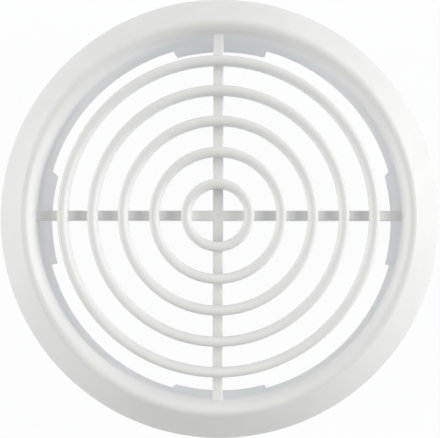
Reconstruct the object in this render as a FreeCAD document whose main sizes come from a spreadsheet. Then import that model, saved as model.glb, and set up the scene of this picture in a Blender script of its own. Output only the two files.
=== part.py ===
"""Round vent cover for a 100 mm duct: one moulding of flange, collar, tabs, cross bars and rings.

The cover faces +Z. The origin is the centre of the flange's foot, the plane that lies on the wall,
so the collar and its tabs reach down into the duct and the dished flange stands up from it.
"""
import FreeCAD, Part
import math
import os
import Sketcher

NODE = "vent_cover"

# Driving sizes, in millimetres and degrees
SIZES = {
    "duct_bore": 100.0,
    "collar_clearance": 0.4,
    "wall": 1.6,
    "flange_overlap": 8.6,
    "lip_height": 1.2,
    "crest_height": 8.4,
    "crest_inset": 2.95,
    "crest_radius": 1.7,
    "flare_radius": 4.5,
    "crest_wall": 1.9,
    "collar_depth": 7.8,
    "tab_depth": 9.3,
    "tab_angle": 31.4,
    "tab_taper": 3.0,
    "bar_count": 2,
    "bar_width": 2.6,
    "bar_depth": 3.4,
    "bar_setback": 2.9,
    "ring_width": 2.65,
    "ring_slot": 5.25,
    "slot_growth": 0.16,
    "rim_slot": 5.9,
    "ring_seat": 0.6,
    "ring_draft": 4.0,
}

# Sizes that follow from the driving ones
FOLLOWING = {
    "collar_radius": "duct_bore / 2 - collar_clearance",
    "throat_radius": "collar_radius - wall",
    "flange_radius": "duct_bore / 2 + flange_overlap",
    "bar_length": "throat_radius + collar_radius",
    "bar_spread": "180 - 180 / bar_count",
    "bar_face": "crest_height - bar_setback",
    "bar_back": "bar_face - bar_depth",
    "ring_pitch": "ring_width + ring_slot",
    "outer_ring_radius": "throat_radius - rim_slot - ring_width / 2",
    "ring_back": "bar_face - ring_seat",
    "tab_end": "collar_depth + tab_depth",
    "tab_count": "2 * bar_count",
    "tab_spread": "360",
}

# Furthest that a flat lies inside the round stretch it stands for, wide enough to keep the turned solid light
FLAT_GAP = 0.07

# Names for the points of a sketch edge and for the sketch's own origin and level axis
START, END, CENTRE = range(1, 4)
ORIGIN = (-1, START)
LEVEL_AXIS = -1


def make_sheet(doc):
    """Spreadsheet with one aliased cell for each driving and each following size."""
    sheet = doc.addObject("Spreadsheet::Sheet", "sizes")
    row = 1
    for name, value in SIZES.items():
        sheet.set(f"A{row}", name)
        sheet.set(f"B{row}", str(value))
        sheet.setAlias(f"B{row}", name)
        row += 1
    for name, formula in FOLLOWING.items():
        sheet.set(f"A{row}", name)
        sheet.set(f"B{row}", f"={formula}")
        sheet.setAlias(f"B{row}", name)
        row += 1
    doc.recompute()
    return sheet


def new_sketch(body, name, role):
    """Sketch on one of the body's own origin planes."""
    plane = next(f for f in body.Origin.OriginFeatures if f.Role == role)
    sketch = body.newObject("Sketcher::SketchObject", name)
    sketch.AttachmentSupport = [(plane, "")]
    sketch.MapMode = "FlatFace"
    return sketch


def bind(sketch, kind, places, value, formula):
    """Dimension of a sketch, drawn at value and tied to a formula of the sheet."""
    index = sketch.addConstraint(Sketcher.Constraint(kind, *places, value))
    sketch.setExpression(f"Constraints[{index}]", formula)


def point(xy):
    """Point of a sketch's own plane."""
    return FreeCAD.Vector(xy[0], xy[1], 0)


def line(sketch, start, end):
    """Straight edge between two (x, y) points."""
    return sketch.addGeometry(Part.LineSegment(point(start), point(end)))


def round_off(sketch, centre, radius, first, last):
    """Rounded stretch from the first angle to the last: a guide arc and even flats between its ends."""
    circle = Part.Circle(point(centre), FreeCAD.Vector(0, 0, 1), radius)
    guide = sketch.addGeometry(Part.ArcOfCircle(circle, first, last), True)
    count = math.ceil((last - first) / (2 * math.acos(1 - FLAT_GAP / radius)))
    angles = [first + (last - first) * step / count for step in range(count + 1)]
    corners = [(centre[0] + radius * math.cos(a), centre[1] + radius * math.sin(a)) for a in angles]
    flats = [line(sketch, a, b) for a, b in zip(corners, corners[1:])]
    sketch.addConstraint(Sketcher.Constraint("Coincident", flats[0], START, guide, START))
    sketch.addConstraint(Sketcher.Constraint("Coincident", flats[-1], END, guide, END))
    for here, following in zip(flats, flats[1:]):
        sketch.addConstraint(Sketcher.Constraint("Coincident", here, END, following, START))
        sketch.addConstraint(Sketcher.Constraint("PointOnObject", here, END, guide))
        sketch.addConstraint(Sketcher.Constraint("Equal", here, following))
    return guide


def join(sketch, edges):
    """Each edge starts where the one before it ends, all the way round."""
    for here, following in zip(edges, edges[1:] + edges[:1]):
        sketch.addConstraint(Sketcher.Constraint("Coincident", here, END, following, START))


def square_up(sketch, sides):
    """Four sides, the first of them level, make a rectangle."""
    for side in sides[0::2]:
        sketch.addConstraint(Sketcher.Constraint("Horizontal", side))
    for side in sides[1::2]:
        sketch.addConstraint(Sketcher.Constraint("Vertical", side))


def turn(body, sketch, name, angle=360.0):
    """Solid turned from a section about the cover's axis."""
    solid = body.newObject("PartDesign::Revolution", name)
    solid.Profile = sketch
    solid.ReferenceAxis = (sketch, ["V_Axis"])
    solid.Angle = angle
    return solid


def polar_pattern(body, originals, name, kind):
    """Copies of features turned about the cover's axis, as many and as far as the sheet says."""
    axis = next(f for f in body.Origin.OriginFeatures if f.Role == "Z_Axis")
    pattern = body.newObject("PartDesign::PolarPattern", name)
    pattern.Originals = originals
    pattern.Axis = (axis, [""])
    pattern.setExpression("Angle", f"sizes.{kind}_spread")
    pattern.setExpression("Occurrences", f"sizes.{kind}_count")
    body.Tip = pattern
    return pattern


def make_shell(body, size):
    """Dished flange and short collar, one wall of nearly even thickness turned about the axis."""
    sketch = new_sketch(body, "shell_section", "XZ_Plane")
    wall = size("wall")
    throat = size("throat_radius")
    collar = size("collar_radius")
    rim = size("flange_radius")
    depth = size("collar_depth")
    crest_radius = size("crest_radius")
    flare_radius = size("flare_radius")
    roof = size("crest_height") - size("crest_wall")
    lip_top = (rim, size("lip_height"))
    crest = (throat + size("crest_inset"), size("crest_height") - crest_radius)

    # The cone runs from the lip and touches the round crest, where its normal leans out by lean
    across = lip_top[0] - crest[0]
    down = lip_top[1] - crest[1]
    lean = math.atan2(down, across) + math.acos(crest_radius / math.hypot(across, down))
    normal = (math.cos(lean), math.sin(lean))
    touch = (crest[0] + crest_radius * normal[0], crest[1] + crest_radius * normal[1])

    # On its inner side the crest meets a wider flare, which runs out into the straight throat
    meet = math.pi - math.acos((flare_radius - size("crest_inset")) / (flare_radius - crest_radius))
    flare = (throat + flare_radius, crest[1] - (flare_radius - crest_radius) * math.sin(meet))

    # The hollow side is parallel to the cone, one wall behind it, and has a sloping roof under the crest
    reach = crest_radius - wall
    foot = crest[0] + (reach + crest[1] * normal[1]) / normal[0]
    eave = crest[0] + (reach - (roof - crest[1]) * normal[1]) / normal[0]

    throat_line = line(sketch, (throat, -depth), (throat, flare[1]))
    flare_arc = round_off(sketch, flare, flare_radius, meet, math.pi)
    crest_arc = round_off(sketch, crest, crest_radius, lean, meet)
    cone_line = line(sketch, touch, lip_top)
    lip_line = line(sketch, lip_top, (rim, 0))
    foot_line = line(sketch, (rim, 0), (foot, 0))
    hollow_line = line(sketch, (foot, 0), (eave, roof))
    roof_line = line(sketch, (eave, roof), (collar, flare[1]))
    collar_line = line(sketch, (collar, flare[1]), (collar, -depth))
    end_line = line(sketch, (collar, -depth), (throat, -depth))

    for edge, place, other, other_place in (
        (throat_line, END, flare_arc, END),
        (flare_arc, START, crest_arc, END),
        (crest_arc, START, cone_line, START),
    ):
        sketch.addConstraint(Sketcher.Constraint("Tangent", edge, place, other, other_place))
    for edge, other in (
        (cone_line, lip_line),
        (lip_line, foot_line),
        (foot_line, hollow_line),
        (hollow_line, roof_line),
        (roof_line, collar_line),
        (collar_line, end_line),
        (end_line, throat_line),
    ):
        sketch.addConstraint(Sketcher.Constraint("Coincident", edge, END, other, START))
    for edge in (throat_line, lip_line, collar_line):
        sketch.addConstraint(Sketcher.Constraint("Vertical", edge))
    sketch.addConstraint(Sketcher.Constraint("Horizontal", end_line))
    sketch.addConstraint(Sketcher.Constraint("Horizontal", flare_arc, CENTRE, roof_line, END))
    for place in (START, END):
        sketch.addConstraint(Sketcher.Constraint("PointOnObject", foot_line, place, LEVEL_AXIS))
    sketch.addConstraint(Sketcher.Constraint("Parallel", hollow_line, cone_line))

    bind(sketch, "DistanceX", (*ORIGIN, throat_line, START), throat, "sizes.throat_radius")
    bind(sketch, "DistanceX", (*ORIGIN, collar_line, END), collar, "sizes.collar_radius")
    bind(sketch, "DistanceX", (*ORIGIN, lip_line, END), rim, "sizes.flange_radius")
    bind(sketch, "DistanceY", (lip_line, END, lip_line, START), lip_top[1], "sizes.lip_height")
    bind(sketch, "DistanceY", (throat_line, START, *ORIGIN), depth, "sizes.collar_depth")
    bind(sketch, "Radius", (crest_arc,), crest_radius, "sizes.crest_radius")
    bind(sketch, "Radius", (flare_arc,), flare_radius, "sizes.flare_radius")
    bind(sketch, "DistanceX", (*ORIGIN, crest_arc, CENTRE), crest[0],
         "sizes.throat_radius + sizes.crest_inset")
    bind(sketch, "DistanceY", (*ORIGIN, roof_line, START), roof,
         "sizes.crest_height - sizes.crest_wall")
    bind(sketch, "DistanceY", (*ORIGIN, crest_arc, CENTRE), crest[1],
         "sizes.crest_height - sizes.crest_radius")
    bind(sketch, "Distance", (foot_line, END, cone_line), wall, "sizes.wall")
    return turn(body, sketch, "shell")


def make_bars(body, size):
    """Flat cross bars inside the throat, with their ends sunk in the collar's wall."""
    sketch = new_sketch(body, "bar_outline", "XY_Plane")
    sketch.setExpression("AttachmentOffset.Base.z", "sizes.bar_back")
    half_length = size("bar_length") / 2
    half_width = size("bar_width") / 2
    corners = [(-half_length, -half_width), (half_length, -half_width),
               (half_length, half_width), (-half_length, half_width)]
    sides = [line(sketch, a, b) for a, b in zip(corners, corners[1:] + corners[:1])]
    join(sketch, sides)
    square_up(sketch, sides)
    sketch.addConstraint(Sketcher.Constraint("Symmetric", sides[0], START, sides[2], START, *ORIGIN))
    bind(sketch, "DistanceX", (sides[0], START, sides[0], END), 2 * half_length, "sizes.bar_length")
    bind(sketch, "DistanceY", (sides[1], START, sides[1], END), 2 * half_width, "sizes.bar_width")

    bar = body.newObject("PartDesign::Pad", "bar")
    bar.Profile = sketch
    bar.setExpression("Length", "sizes.bar_depth")
    return polar_pattern(body, [bar], "cross_bars", "bar")


def ring_radius(size, number):
    """Radius of a ring and its formula. From the outermost, 0, each slot is a little wider than the last."""
    growths = number * (number - 1) // 2
    radius = size("outer_ring_radius") - number * size("ring_pitch") - growths * size("slot_growth")
    return radius, f"sizes.outer_ring_radius - {number} * sizes.ring_pitch - {growths} * sizes.slot_growth"


def make_ring(body, size, number):
    """Louvre ring with a round front and drafted flanks, seated on the bars."""
    sketch = new_sketch(body, f"ring_{number}_section", "XZ_Plane")
    half_width = size("ring_width") / 2
    radius, radius_formula = ring_radius(size, number)
    height = size("crest_height") - half_width
    back = size("ring_back")
    draft = math.radians(size("ring_draft"))
    shoulder = half_width * math.cos(draft)
    shoulder_y = height - half_width * math.sin(draft)
    foot = shoulder - (shoulder_y - back) * math.tan(draft)

    front_arc = round_off(sketch, (radius, height), half_width, -draft, math.pi + draft)
    inner_flank = line(sketch, (radius - shoulder, shoulder_y), (radius - foot, back))
    back_line = line(sketch, (radius - foot, back), (radius + foot, back))
    outer_flank = line(sketch, (radius + foot, back), (radius + shoulder, shoulder_y))

    sketch.addConstraint(Sketcher.Constraint("Tangent", front_arc, END, inner_flank, START))
    sketch.addConstraint(Sketcher.Constraint("Tangent", front_arc, START, outer_flank, END))
    sketch.addConstraint(Sketcher.Constraint("Coincident", inner_flank, END, back_line, START))
    sketch.addConstraint(Sketcher.Constraint("Coincident", back_line, END, outer_flank, START))
    sketch.addConstraint(Sketcher.Constraint("Horizontal", back_line))
    sketch.addConstraint(Sketcher.Constraint("Equal", inner_flank, outer_flank))
    bind(sketch, "DistanceX", (*ORIGIN, front_arc, CENTRE), radius, radius_formula)
    bind(sketch, "DistanceY", (*ORIGIN, front_arc, CENTRE), height,
         "sizes.crest_height - sizes.ring_width / 2")
    bind(sketch, "Radius", (front_arc,), half_width, "sizes.ring_width / 2")
    bind(sketch, "DistanceY", (back_line, START, front_arc, CENTRE), height - back,
         "sizes.crest_height - sizes.ring_width / 2 - sizes.ring_back")
    bind(sketch, "Angle", (inner_flank, START, outer_flank, END), 2 * draft,
         "2 * sizes.ring_draft * 1 deg")
    return turn(body, sketch, f"ring_{number}")


def make_tabs(body, size):
    """Longer tongues of the collar behind each bar end, a little narrower at their free ends."""
    sketch = new_sketch(body, "tab_section", "XZ_Plane")
    throat = size("throat_radius")
    collar = size("collar_radius")
    root = -size("collar_depth")
    end = -size("tab_end")
    corners = [(throat, end), (collar, end), (collar, root), (throat, root)]
    sides = [line(sketch, a, b) for a, b in zip(corners, corners[1:] + corners[:1])]
    join(sketch, sides)
    square_up(sketch, sides)
    bind(sketch, "DistanceX", (*ORIGIN, sides[0], START), throat, "sizes.throat_radius")
    bind(sketch, "DistanceX", (*ORIGIN, sides[0], END), collar, "sizes.collar_radius")
    bind(sketch, "DistanceY", (sides[0], START, *ORIGIN), -end, "sizes.tab_end")
    bind(sketch, "DistanceY", (sides[2], START, *ORIGIN), -root, "sizes.collar_depth")
    tab = turn(body, sketch, "tab", size("tab_angle"))
    tab.Midplane = True
    tab.setExpression("Angle", "sizes.tab_angle")

    taper = make_tab_taper(body, size)
    return polar_pattern(body, [tab, taper], "tabs", "tab")


def make_tab_taper(body, size):
    """Slivers off both sides of a tab, from nothing at its root to the full taper at its end."""
    sketch = new_sketch(body, "tab_taper_outline", "YZ_Plane")
    root = -size("collar_depth")
    end = -size("tab_end")
    inset = size("tab_depth") * math.tan(math.radians(size("tab_taper")))
    half_root = size("throat_radius") * math.sin(math.radians(size("tab_angle") / 2))
    outside = size("collar_radius") * math.sin(math.radians(size("tab_angle") / 2)) + inset
    for side in (-1, 1):
        corners = [(side * half_root, root), (side * (half_root - inset), end),
                   (side * outside, end), (side * outside, root)]
        edges = [line(sketch, a, b) for a, b in zip(corners, corners[1:] + corners[:1])]
        join(sketch, edges)
        sketch.addConstraint(Sketcher.Constraint("Horizontal", edges[1]))
        sketch.addConstraint(Sketcher.Constraint("Vertical", edges[2]))
        sketch.addConstraint(Sketcher.Constraint("Horizontal", edges[3]))
        bind(sketch, "DistanceY", (edges[0], START, *ORIGIN), -root, "sizes.collar_depth")
        bind(sketch, "DistanceY", (edges[0], END, *ORIGIN), -end, "sizes.tab_end")
        half = "sizes.throat_radius * sin(sizes.tab_angle / 2 * 1 deg)"
        cut = "sizes.tab_depth * tan(sizes.tab_taper * 1 deg)"
        far = f"sizes.collar_radius * sin(sizes.tab_angle / 2 * 1 deg) + {cut}"
        for edge, place, value, formula in (
            (edges[0], START, half_root, half),
            (edges[0], END, half_root - inset, f"{half} - {cut}"),
            (edges[2], START, outside, far),
        ):
            ends = (*ORIGIN, edge, place) if side > 0 else (edge, place, *ORIGIN)
            bind(sketch, "DistanceX", ends, value, formula)
    taper = body.newObject("PartDesign::Pocket", "tab_taper")
    taper.Profile = sketch
    taper.Reversed = True
    taper.setExpression("Length", "sizes.flange_radius")
    return taper


def check(doc, body, before_taper, after_taper):
    """Stop unless every object is sound, the body is one valid solid and the tapers cut something."""
    for item in doc.Objects:
        if "Invalid" in item.State or "Error" in item.State:
            raise RuntimeError(f"{item.Name} failed: {item.State}")
        if item.isDerivedFrom("Sketcher::SketchObject") and not item.FullyConstrained:
            raise RuntimeError(f"{item.Name} is not fully constrained")
    if body.Shape.isNull() or not body.Shape.isValid():
        raise RuntimeError("the cover's shape is not valid")
    if len(body.Shape.Solids) != 1:
        raise RuntimeError(f"the cover is {len(body.Shape.Solids)} solids, not one")
    if after_taper.Shape.Volume >= before_taper.Shape.Volume:
        raise RuntimeError("the tab tapers cut nothing")


doc = FreeCAD.newDocument("round_vent_cover")
sheet = make_sheet(doc)
size = sheet.get

body = doc.addObject("PartDesign::Body", NODE)
body.Label = NODE
body.Placement = FreeCAD.Placement()
make_shell(body, size)
make_bars(body, size)

# Rings fill the throat from its rim inwards, for as long as the open core is wider than a slot
ring_count = 0
while ring_radius(size, ring_count)[0] - size("ring_width") / 2 > size("ring_slot"):
    make_ring(body, size, ring_count)
    ring_count += 1
make_tabs(body, size)
doc.recompute()

check(doc, body, doc.getObject("tab"), doc.getObject("tab_taper"))
os.makedirs("parts", exist_ok=True)
body.Shape.exportStep(f"parts/{NODE}.step")
box = body.Shape.BoundBox
print(f"{NODE}: {body.Shape.Volume:.1f} mm3, {ring_count} rings, {len(body.Shape.Faces)} faces")
print(f"{box.XLength:.1f} x {box.YLength:.1f} mm, z {box.ZMin:.2f} to {box.ZMax:.2f}")
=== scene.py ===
"""Looks of a round vent cover: one white plastic moulding, seen from the front on a pale floor."""
import math

import bmesh
import bpy
from mathutils import Matrix, Vector


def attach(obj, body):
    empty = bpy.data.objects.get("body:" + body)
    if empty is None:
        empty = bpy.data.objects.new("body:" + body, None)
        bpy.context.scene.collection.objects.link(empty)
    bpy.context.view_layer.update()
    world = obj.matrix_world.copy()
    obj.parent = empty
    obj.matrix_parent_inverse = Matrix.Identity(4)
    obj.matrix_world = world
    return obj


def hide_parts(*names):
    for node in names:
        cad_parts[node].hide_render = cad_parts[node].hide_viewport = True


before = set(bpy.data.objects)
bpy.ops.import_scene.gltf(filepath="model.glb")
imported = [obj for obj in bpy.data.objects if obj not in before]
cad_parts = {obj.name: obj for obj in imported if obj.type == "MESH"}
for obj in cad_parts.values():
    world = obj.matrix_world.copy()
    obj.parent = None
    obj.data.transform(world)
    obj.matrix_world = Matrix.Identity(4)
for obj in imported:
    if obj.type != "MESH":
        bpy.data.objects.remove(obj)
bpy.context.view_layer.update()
scene = bpy.context.scene


# The plastic of the whole cover. White ABS, coloured right through and injection moulded in a tool with
# a fine spark-eroded face, so it takes soft, broad lights and has a faint grain and a slightly uneven gloss.
mm = 0.001


def linear(colour):
    """An sRGB hex colour as linear red, green, blue and alpha."""
    channels = [int(colour[first:first + 2], 16) / 255 for first in (1, 3, 5)]
    return [c / 12.92 if c <= 0.04045 else ((c + 0.055) / 1.055) ** 2.4 for c in channels] + [1.0]


def add_node(tree, kind, inputs=None, **settings):
    """A node with its settings, each of its inputs given a value or linked from another node's socket."""
    node = tree.nodes.new(kind)
    for name, value in settings.items():
        setattr(node, name, value)
    for name, value in (inputs or {}).items():
        if isinstance(value, bpy.types.NodeSocket):
            tree.links.new(value, node.inputs[name])
        else:
            node.inputs[name].default_value = value
    return node


white_abs = bpy.data.materials.new("white_satin_moulded_abs")
white_abs.use_nodes = True
plastic = white_abs.node_tree
plastic.nodes.clear()
place = add_node(plastic, "ShaderNodeTexCoord").outputs["Object"]
# Pigment and gloss drift over about 14 mm, as the melt cooled
cloud_size = 14 * mm
cloud_low = 0.3
cloud_high = 0.7
cloud = add_node(plastic, "ShaderNodeTexNoise", {"Vector": place, "Scale": 1 / cloud_size, "Detail": 3.0})
# The tool's grain is about 0.1 mm. It is drawn at 0.5 mm, the finest that shows in the render
grain_size = 0.5 * mm
grain_depth = 0.05 * mm
grain = add_node(plastic, "ShaderNodeTexNoise", {"Vector": place, "Scale": 1 / grain_size, "Detail": 2.0})
tint = add_node(plastic, "ShaderNodeValToRGB", {"Fac": cloud.outputs["Fac"]})
tint.color_ramp.elements[0].position = cloud_low
tint.color_ramp.elements[0].color = linear("#EAEAE9")
tint.color_ramp.elements[1].position = cloud_high
tint.color_ramp.elements[1].color = linear("#EFEFEE")
gloss = add_node(plastic, "ShaderNodeMapRange",
                 {"Value": cloud.outputs["Fac"], "From Min": cloud_low, "From Max": cloud_high,
                  "To Min": 0.40, "To Max": 0.48})
relief = add_node(plastic, "ShaderNodeBump",
                  {"Height": grain.outputs["Fac"], "Strength": 0.12, "Distance": grain_depth})
surface = add_node(plastic, "ShaderNodeBsdfPrincipled",
                   {"Base Color": tint.outputs["Color"], "Roughness": gloss.outputs["Result"],
                    "Normal": relief.outputs["Normal"], "IOR": 1.54})
add_node(plastic, "ShaderNodeOutputMaterial", {"Surface": surface.outputs["BSDF"]})


# The dished flange, the short collar and its four longer tabs. One moulded skin of nearly even thickness,
# round about the cover's axis. The flange's foot lies on the wall of the room, and the collar and tabs slide
# into the duct.
throat_radius = 48.0 * mm
collar_radius = 49.6 * mm
flange_radius = 58.6 * mm
skin = collar_radius - throat_radius
lip_height = 1.2 * mm
crest_height = 8.4 * mm
crest_inset = 2.95 * mm
crest_radius = 1.7 * mm
flare_radius = 4.5 * mm
roof_height = 6.5 * mm
collar_end = -7.8 * mm
tab_end = -17.1 * mm
tab_half_angle = math.radians(31.4 / 2)
tab_taper = math.radians(3.0)
soft_edge = 0.25 * mm

# Section of the skin: up the throat, out over its flare, round the tighter crest, down the cone to the lip
# and back along the hollow. Seen from the crest's centre, the flare meets the crest in the direction meet,
# and the cone leaves it in the direction lean. The hollow's cone lies one skin thickness inside the outer one
crest = Vector((throat_radius + crest_inset, crest_height - crest_radius))
to_lip = Vector((flange_radius, lip_height)) - crest
lean = math.atan2(to_lip.y, to_lip.x) + math.acos(crest_radius / to_lip.length)
meet = math.pi - math.acos((flare_radius - crest_inset) / (flare_radius - crest_radius))
flare = Vector((throat_radius + flare_radius, crest.y - (flare_radius - crest_radius) * math.sin(meet)))
behind = crest_radius - skin
foot_radius = crest.x + (behind + crest.y * math.sin(lean)) / math.cos(lean)
eave_radius = crest.x + (behind - (roof_height - crest.y) * math.sin(lean)) / math.cos(lean)
flange_line = [Vector((throat_radius, collar_end))]
bend_steps = 10
for step in range(bend_steps):
    angle = math.pi + (meet - math.pi) * step / bend_steps
    flange_line.append(flare + flare_radius * Vector((math.cos(angle), math.sin(angle))))
for step in range(bend_steps + 1):
    angle = meet + (lean - meet) * step / bend_steps
    flange_line.append(crest + crest_radius * Vector((math.cos(angle), math.sin(angle))))
flange_line += [Vector((flange_radius, lip_height)), Vector((flange_radius, 0)), Vector((foot_radius, 0)),
                Vector((eave_radius, roof_height))]
collar_line = [Vector((collar_radius, flare.y)), Vector((collar_radius, collar_end))]

# Columns round the axis, set so that each tab's sides fall on one. A tab's sides are flat and parallel, so
# its columns stand at a smaller angle on the collar's outside than on its inside
tab_steps = 24
gap_steps = 44
quarter_steps = tab_steps + gap_steps
outer_half_angle = math.asin(throat_radius * math.sin(tab_half_angle) / collar_radius)
columns = []
for quarter in range(4):
    turn = quarter * math.pi / 2
    for step in range(tab_steps):
        inside = tab_half_angle * (2 * step / tab_steps - 1)
        outside = math.asin(throat_radius * math.sin(inside) / collar_radius)
        columns.append((turn + inside, turn + outside))
    for step in range(gap_steps):
        share = step / gap_steps
        inside = tab_half_angle + (math.pi / 2 - 2 * tab_half_angle) * share
        outside = outer_half_angle + (math.pi / 2 - 2 * outer_half_angle) * share
        columns.append((turn + inside, turn + outside))

shell = bmesh.new()
rows = []
for inside, outside in columns:
    row = []
    for line, angle in ((flange_line, inside), (collar_line, outside)):
        row += [shell.verts.new((point.x * math.cos(angle), point.x * math.sin(angle), point.y))
                for point in line]
    rows.append(row)
for number, row in enumerate(rows):
    following = rows[(number + 1) % len(rows)]
    for here in range(len(row) - 1):
        shell.faces.new((row[here], following[here], following[here + 1], row[here + 1]))
    if number % quarter_steps >= tab_steps:
        shell.faces.new((row[-1], following[-1], following[0], row[0]))

# Each tab goes on from its stretch of the collar's end and narrows a little to its own end
tab_rows = 4
half_root = throat_radius * math.sin(tab_half_angle)
for quarter in range(4):
    spin = Matrix.Rotation(quarter * math.pi / 2, 3, "Z")
    first = quarter * quarter_steps
    stretch = [rows[(first + step) % len(rows)] for step in range(tab_steps + 1)]
    levels = [[(row[0], row[-1]) for row in stretch]]
    for level in range(1, tab_rows + 1):
        height = collar_end + (tab_end - collar_end) * level / tab_rows
        narrowing = 1 - (collar_end - height) * math.tan(tab_taper) / half_root
        pairs = []
        for step in range(tab_steps + 1):
            across = throat_radius * math.sin(tab_half_angle * (2 * step / tab_steps - 1)) * narrowing
            pair = [Vector((math.sqrt(radius ** 2 - across ** 2), across, height))
                    for radius in (throat_radius, collar_radius)]
            pairs.append(tuple(shell.verts.new(spin @ point) for point in pair))
        levels.append(pairs)
    for upper, lower in zip(levels, levels[1:]):
        for step in range(tab_steps):
            shell.faces.new((upper[step][0], lower[step][0], lower[step + 1][0], upper[step + 1][0]))
            shell.faces.new((upper[step][1], upper[step + 1][1], lower[step + 1][1], lower[step][1]))
        for step in (0, tab_steps):
            shell.faces.new((upper[step][0], upper[step][1], lower[step][1], lower[step][0]))
    tip = levels[-1]
    for step in range(tab_steps):
        shell.faces.new((tip[step][0], tip[step][1], tip[step + 1][1], tip[step + 1][0]))
bmesh.ops.recalc_face_normals(shell, faces=shell.faces)

# The tool leaves every corner a little round
corner_angle = math.radians(30)
corners = [edge for edge in shell.edges if edge.calc_face_angle() > corner_angle]
bmesh.ops.bevel(shell, geom=corners, offset=soft_edge, offset_type="OFFSET", segments=3, profile=0.5,
                affect="EDGES", clamp_overlap=True)
moulding = bpy.data.objects.new("vent_cover_moulding", bpy.data.meshes.new("vent_cover_moulding"))
shell.to_mesh(moulding.data)
shell.free()
moulding.data.materials.append(white_abs)
scene.collection.objects.link(moulding)


# The two crossed bars that carry the rings. Flat ribs of the same moulding, with their ends sunk in the
# throat's wall and their front edges just below the crest.
def settle(piece):
    """Works a piece's modifiers into a plain mesh and removes them."""
    mesh = bpy.data.meshes.new_from_object(piece.evaluated_get(bpy.context.evaluated_depsgraph_get()))
    piece.modifiers.clear()
    piece.data = mesh


def grow(name, sizes, lay_out):
    """A mesh object from a Geometry Nodes tree with the sizes as its named inputs."""
    tree = bpy.data.node_groups.new(name, "GeometryNodeTree")
    kinds = {int: "NodeSocketInt", float: "NodeSocketFloat", bpy.types.Material: "NodeSocketMaterial"}
    sockets = {label: tree.interface.new_socket(label, in_out="INPUT", socket_type=kinds[type(value)])
               for label, value in sizes.items()}
    tree.interface.new_socket("Geometry", in_out="OUTPUT", socket_type="NodeSocketGeometry")
    given = add_node(tree, "NodeGroupInput").outputs
    whole = add_node(tree, "GeometryNodeRealizeInstances", {"Geometry": lay_out(tree, given)})
    painted = add_node(tree, "GeometryNodeSetMaterial",
                       {"Geometry": whole.outputs["Geometry"], "Material": given["Material"]})
    add_node(tree, "NodeGroupOutput", {"Geometry": painted.outputs["Geometry"]})
    grown = bpy.data.objects.new(name, bpy.data.meshes.new(name))
    scene.collection.objects.link(grown)
    modifier = grown.modifiers.new(name, "NODES")
    modifier.node_group = tree
    for label, value in sizes.items():
        modifier[sockets[label].identifier] = value
    settle(grown)
    return grown


def cross_bars(tree, given):
    """One bar's rounded section drawn along a straight line, and copies of it turned about the axis."""
    half = add_node(tree, "ShaderNodeMath", {0: given["Bar length"], 1: 0.5}, operation="MULTIPLY").outputs[0]
    back = add_node(tree, "ShaderNodeMath", {0: half, 1: -1.0}, operation="MULTIPLY").outputs[0]
    start = add_node(tree, "ShaderNodeCombineXYZ", {"X": back}).outputs[0]
    end = add_node(tree, "ShaderNodeCombineXYZ", {"X": half}).outputs[0]
    path = add_node(tree, "GeometryNodeCurvePrimitiveLine", {"Start": start, "End": end}).outputs["Curve"]
    section = add_node(tree, "GeometryNodeCurvePrimitiveQuadrilateral",
                       {"Width": given["Bar width"], "Height": given["Bar depth"]}, mode="RECTANGLE")
    rounded = add_node(tree, "GeometryNodeFilletCurve",
                       {"Curve": section.outputs["Curve"], "Radius": given["Edge radius"], "Count": 4},
                       mode="POLY")
    bar = add_node(tree, "GeometryNodeCurveToMesh",
                   {"Curve": path, "Profile Curve": rounded.outputs["Curve"], "Fill Caps": True})
    places = add_node(tree, "GeometryNodeMeshLine", {"Count": given["Bar count"], "Offset": (0, 0, 0)})
    share = add_node(tree, "ShaderNodeMath", {0: math.pi, 1: given["Bar count"]},
                     operation="DIVIDE").outputs[0]
    number = add_node(tree, "GeometryNodeInputIndex").outputs["Index"]
    angle = add_node(tree, "ShaderNodeMath", {0: number, 1: share}, operation="MULTIPLY").outputs[0]
    turned = add_node(tree, "ShaderNodeCombineXYZ", {"Z": angle}).outputs[0]
    bars = add_node(tree, "GeometryNodeInstanceOnPoints",
                    {"Points": places.outputs["Mesh"], "Instance": bar.outputs["Mesh"], "Rotation": turned})
    lift = add_node(tree, "ShaderNodeCombineXYZ", {"Z": given["Middle height"]}).outputs[0]
    return add_node(tree, "GeometryNodeTransform",
                    {"Geometry": bars.outputs["Instances"], "Translation": lift}).outputs["Geometry"]


bar_depth = 3.4 * mm
bar_face = 5.5 * mm
bars = grow("cross_bars", {
    "Bar count": 2,
    "Bar length": throat_radius + collar_radius,
    "Bar width": 2.6 * mm,
    "Bar depth": bar_depth,
    "Edge radius": 0.3 * mm,
    "Middle height": bar_face - bar_depth / 2,
    "Material": white_abs,
}, cross_bars)


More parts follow.
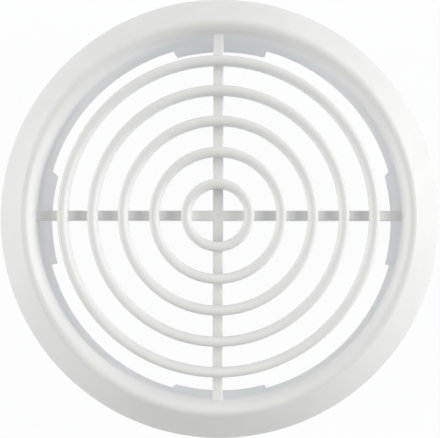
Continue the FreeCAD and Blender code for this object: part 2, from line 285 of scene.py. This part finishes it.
# The five concentric rings. Each has a round front level with the crest, fuller on the side of the axis, and
# flanks that narrow to its back for release from the tool. It is one with the bars where it crosses them.
def louvre_rings(tree, given):
    """Circles whose slots widen towards the middle, swept with a drafted section that is round in front."""
    places = add_node(tree, "GeometryNodeMeshLine", {"Count": given["Ring count"], "Offset": (0, 0, 0)})
    circle = add_node(tree, "GeometryNodeCurvePrimitiveCircle", {"Resolution": 288, "Radius": 1.0})
    # From the outermost ring inwards, the steps are one pitch, then one pitch and one growth, and so on
    number = add_node(tree, "GeometryNodeInputIndex").outputs["Index"]
    before = add_node(tree, "ShaderNodeMath", {0: number, 1: 1.0}, operation="SUBTRACT").outputs[0]
    growth = add_node(tree, "ShaderNodeMath", {0: before, 1: given["Slot growth"]},
                      operation="MULTIPLY").outputs[0]
    step = add_node(tree, "ShaderNodeMath", {0: growth, 1: 0.5, 2: given["Ring pitch"]},
                    operation="MULTIPLY_ADD").outputs[0]
    inward = add_node(tree, "ShaderNodeMath", {0: number, 1: step}, operation="MULTIPLY").outputs[0]
    radius = add_node(tree, "ShaderNodeMath", {0: given["Outer radius"], 1: inward},
                      operation="SUBTRACT").outputs[0]
    circles = add_node(tree, "GeometryNodeInstanceOnPoints",
                       {"Points": places.outputs["Mesh"], "Instance": circle.outputs["Curve"],
                        "Scale": radius})
    paths = add_node(tree, "GeometryNodeRealizeInstances", {"Geometry": circles.outputs["Instances"]})
    section = add_node(tree, "GeometryNodeCurvePrimitiveQuadrilateral",
                       {"Bottom Width": given["Front width"], "Top Width": given["Back width"], "Offset": 0.0,
                        "Height": given["Ring depth"]}, mode="TRAPEZOID")
    # Once a section is swept, its own X points away from the axis and its own Y to the back of the ring
    spot = add_node(tree, "GeometryNodeInputPosition").outputs["Position"]
    corner = add_node(tree, "ShaderNodeSeparateXYZ", {"Vector": spot}).outputs
    inner = add_node(tree, "FunctionNodeCompare", {"A": corner["X"], "B": 0.0},
                     operation="LESS_THAN").outputs["Result"]
    front = add_node(tree, "FunctionNodeCompare", {"A": corner["Y"], "B": 0.0},
                     operation="LESS_THAN").outputs["Result"]
    nose = add_node(tree, "GeometryNodeSwitch",
                    {"Switch": inner, "False": given["Front outer radius"],
                     "True": given["Front inner radius"]}, input_type="FLOAT").outputs["Output"]
    bend = add_node(tree, "GeometryNodeSwitch",
                    {"Switch": front, "False": given["Back radius"], "True": nose},
                    input_type="FLOAT").outputs["Output"]
    rounded = add_node(tree, "GeometryNodeFilletCurve",
                       {"Curve": section.outputs["Curve"], "Radius": bend, "Count": 8, "Limit Radius": True},
                       mode="POLY")
    rings = add_node(tree, "GeometryNodeCurveToMesh",
                     {"Curve": paths.outputs["Geometry"], "Profile Curve": rounded.outputs["Curve"]})
    lift = add_node(tree, "ShaderNodeCombineXYZ", {"Z": given["Middle height"]}).outputs[0]
    return add_node(tree, "GeometryNodeTransform",
                    {"Geometry": rings.outputs["Mesh"], "Translation": lift}).outputs["Geometry"]


ring_width = 2.65 * mm
ring_slot = 5.25 * mm
rim_slot = 5.9 * mm
ring_depth = 3.5 * mm
ring_draft = math.radians(4.0)
front_shift = 0.27 * mm
front_width = ring_width * math.tan(math.pi / 4 + ring_draft / 2)
rings = grow("louvre_rings", {
    "Ring count": 5,
    "Outer radius": throat_radius - rim_slot - ring_width / 2,
    "Ring pitch": ring_width + ring_slot,
    "Slot growth": 0.16 * mm,
    "Front width": front_width,
    "Back width": front_width - 2 * ring_depth * math.tan(ring_draft),
    "Ring depth": ring_depth,
    "Front inner radius": ring_width / 2 + front_shift,
    "Front outer radius": ring_width / 2 - front_shift,
    "Back radius": 0.25 * mm,
    "Middle height": crest_height - ring_depth / 2,
    "Material": white_abs,
}, louvre_rings)


# Flange, bars and rings leave the tool as one piece, so their meshes are fused. The normals of broad faces
# hold right up to the rounded edges, as they do on the real part.
for part in (bars, rings):
    fuse = moulding.modifiers.new(part.name, "BOOLEAN")
    fuse.operation = "UNION"
    fuse.solver = "EXACT"
    fuse.use_self = True
    fuse.object = part
settle(moulding)
for part in (bars, rings):
    bpy.data.objects.remove(part)
# Points that the fuse leaves almost on top of each other become one
weld_distance = 0.002 * mm
seams = bmesh.new()
seams.from_mesh(moulding.data)
bmesh.ops.remove_doubles(seams, verts=seams.verts, dist=weld_distance)
seams.to_mesh(moulding.data)
seams.free()
crease_angle = math.radians(40)
moulding.data.shade_smooth()
moulding.data.set_sharp_from_angle(angle=crease_angle)
even = moulding.modifiers.new("even_normals", "WEIGHTED_NORMAL")
even.keep_sharp = True
settle(moulding)
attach(moulding, "root")
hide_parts("vent_cover")


# The table that the cover rests on, face up on its tabs: white card, uncoated and matt. The camera sees it as
# plain white, with only the faint shadow of the cover on it.
def looking_rays(tree):
    """1 where the camera, a reflection or a view through glass looks, and 0 where light is gathered."""
    ray = add_node(tree, "ShaderNodeLightPath").outputs
    seen = add_node(tree, "ShaderNodeMath", {0: ray["Is Camera Ray"], 1: ray["Is Glossy Ray"]},
                    operation="MAXIMUM").outputs[0]
    return add_node(tree, "ShaderNodeMath", {0: seen, 1: ray["Is Transmission Ray"]},
                    operation="MAXIMUM").outputs[0]


floor_mesh = bpy.data.meshes.new("white_card_floor")
reach = 3.0
card_face = tab_end - 0.05 * mm
floor_mesh.from_pydata([(-reach, -reach, card_face), (reach, -reach, card_face), (reach, reach, card_face),
                        (-reach, reach, card_face)], [], [(0, 1, 2, 3)])
floor = bpy.data.objects.new("white_card_floor", floor_mesh)
scene.collection.objects.link(floor)
card = bpy.data.materials.new("white_card")
card.use_nodes = True
paper = card.node_tree
paper.nodes.clear()
# The fibres gather in clouds of about 2 mm
fibre_size = 2 * mm
spread = add_node(paper, "ShaderNodeTexCoord").outputs["Object"]
fibre = add_node(paper, "ShaderNodeTexNoise", {"Vector": spread, "Scale": 1 / fibre_size})
shade = add_node(paper, "ShaderNodeValToRGB", {"Fac": fibre.outputs["Fac"]})
shade.color_ramp.elements[0].color = linear("#EEF3F9")
shade.color_ramp.elements[1].color = linear("#F2F7FC")
matt = add_node(paper, "ShaderNodeBsdfDiffuse", {"Color": shade.outputs["Color"]})
glow = add_node(paper, "ShaderNodeEmission", {"Color": linear("#FFFFFF"), "Strength": 1.0})
# A small share of the card's own face stays in view and keeps the cover's shadow
white_share = 0.95
white = add_node(paper, "ShaderNodeMath", {0: looking_rays(paper), 1: white_share}, operation="MULTIPLY")
mixed = add_node(paper, "ShaderNodeMixShader",
                 {"Fac": white.outputs[0], 1: matt.outputs["BSDF"], 2: glow.outputs["Emission"]})
add_node(paper, "ShaderNodeOutputMaterial", {"Surface": mixed.outputs["Shader"]})
floor_mesh.materials.append(card)


# Studio light: low soft boxes at both sides and a weak one above, a dim light table and even light from the
# room. The strength is the brightness that a box gives a white card square to it.
distance = 1.2
for name, azimuth, elevation, strength in (("right_box", 8, 24, 0.70), ("left_box", 175, 21, 0.51),
                                           ("top_box", 90, 12, 0.10)):
    box = bpy.data.lights.new(name, "AREA")
    box.shape = "RECTANGLE"
    box.size = 0.9
    box.size_y = 0.55
    box.color = linear("#FFFEFC")[:3]
    box.energy = strength * math.pi ** 2 * distance ** 2
    lamp = bpy.data.objects.new(name, box)
    around = math.radians(azimuth)
    rise = math.radians(elevation)
    toward = Vector((math.cos(around) * math.cos(rise), math.sin(around) * math.cos(rise), math.sin(rise)))
    lamp.location = toward * distance
    lamp.rotation_euler = toward.to_track_quat("Z", "Y").to_euler()
    lamp.visible_camera = False
    scene.collection.objects.link(lamp)

# The light table's strength is the brightness of its own face
table_strength = 0.09
table = bpy.data.lights.new("light_table", "AREA")
table.shape = "DISK"
table.size = 0.16
table.color = linear("#D4E6FF")[:3]
table.energy = table_strength * math.pi * math.pi * (table.size / 2) ** 2
lamp = bpy.data.objects.new("light_table", table)
lamp.location = (0, 0, tab_end + 0.1 * mm)
lamp.rotation_euler = (math.pi, 0, 0)
lamp.visible_camera = False
scene.collection.objects.link(lamp)

room = bpy.data.worlds.new("pale_room")
room.use_nodes = True
air = room.node_tree
air.nodes.clear()
ambient = add_node(air, "ShaderNodeBackground", {"Color": linear("#FDFEFB"), "Strength": 0.40})
backdrop = add_node(air, "ShaderNodeBackground", {"Color": linear("#FFFFFF"), "Strength": 1.0})
either = add_node(air, "ShaderNodeMixShader",
                  {"Fac": looking_rays(air), 1: ambient.outputs["Background"],
                   2: backdrop.outputs["Background"]})
add_node(air, "ShaderNodeOutputWorld", {"Surface": either.outputs["Shader"]})
scene.world = room
scene.view_settings.view_transform = "Standard"


# The photograph's camera: almost straight on, a little to the right of the axis and below it. Its place and
# focal length, in pixels of the picture, were fitted to the round edges of the cover.
eye = Vector((9.58, -15.48, 284.8)) * mm
aim = Vector((0.40, -0.67, 0.9)) * mm
roll = math.radians(0.14)
focal_pixels = 1065
picture_width = 440
lens = bpy.data.cameras.new("front_camera")
lens.sensor_width = 36.0
lens.lens = lens.sensor_width * focal_pixels / picture_width
lens.clip_start = 0.01
camera = bpy.data.objects.new("front_camera", lens)
back = (eye - aim).normalized()
right = Vector((0, 1, 0)).cross(back).normalized()
level = Matrix((right, back.cross(right), back)).transposed()
camera.matrix_world = Matrix.LocRotScale(eye, level @ Matrix.Rotation(roll, 3, "Z"), None)
scene.collection.objects.link(camera)
scene.camera = camera
